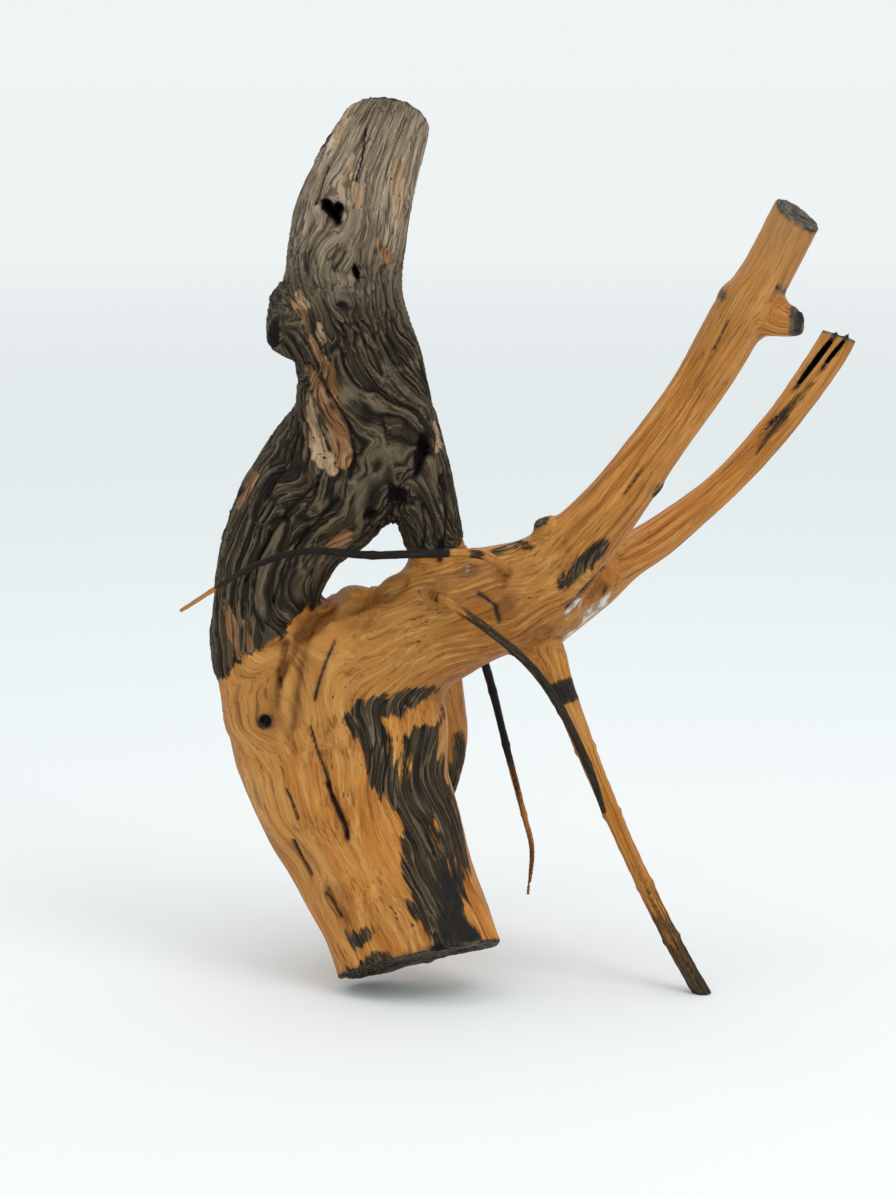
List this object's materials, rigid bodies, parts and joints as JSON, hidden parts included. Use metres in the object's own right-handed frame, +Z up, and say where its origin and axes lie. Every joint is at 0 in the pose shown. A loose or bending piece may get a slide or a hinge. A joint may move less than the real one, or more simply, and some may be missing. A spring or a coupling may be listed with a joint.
{
  "type": "piece of driftwood",
  "caption": "Branching piece of driftwood that stands on a sawn root foot and a thin prop branch, with a dark weathered trunk, a natural loop and two cut branches.",
  "frame": {"origin": "on the floor, under the middle of the whole piece", "axes": "+Z up, -Y towards the front, where the prop branch and the front branch lean, +X from the trunk towards the two branches"},
  "size_m": [0.334, 0.1406, 0.4338],
  "materials": {
    "driftwood_wood": "dry honey-coloured wood worn smooth by water, with a furrowed grey-brown weathered trunk and black patches"
  },
  "bodies": {
    "root": {"driftwood": "driftwood_wood"}
  },
  "joints": []
}
